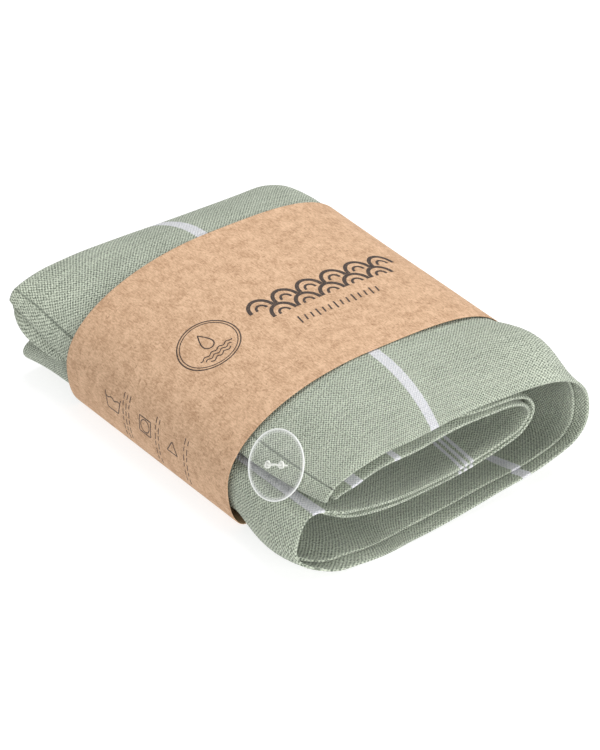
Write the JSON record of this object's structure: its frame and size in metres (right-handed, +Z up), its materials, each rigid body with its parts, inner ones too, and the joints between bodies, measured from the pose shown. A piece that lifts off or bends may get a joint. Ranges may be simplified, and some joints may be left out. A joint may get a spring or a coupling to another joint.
{
  "type": "folded quick dry towel",
  "caption": "Cotton towel folded in half and rolled flat, held by a kraft paper sleeve that slides off and a clear disc stapled to its hem.",
  "frame": {"origin": "under the middle of the folded towel, on the surface it lies on", "axes": "+X along the roll towards its open front end, +Y across the roll away from the flap's edge, +Z up"},
  "size_m": [0.203, 0.148, 0.06],
  "materials": {
    "towel_cotton": "sage green pique weave with white window-pane stripes",
    "hem_thread": "green sewing thread",
    "kraft_paper": "uncoated brown kraft paper with dark brown print",
    "lap_glue": "dried hot-melt adhesive",
    "clear_film": "clear die-cut plastic film",
    "clear_nylon": "clear moulded nylon"
  },
  "bodies": {
    "towel": {"towel_cloth": "towel_cotton", "flap_hem_thread": "hem_thread", "inner_hem_thread": "hem_thread", "seal_disc": "clear_film", "tag_staple": "clear_nylon"},
    "sleeve": {"paper_sleeve": "kraft_paper", "sleeve_glue_strip": "lap_glue"}
  },
  "joints": [
    {"name": "sleeve_slide", "type": "slide", "parent": "towel", "child": "sleeve", "axis": [-1, 0, 0], "range_m": [0, 0.16]}
  ]
}
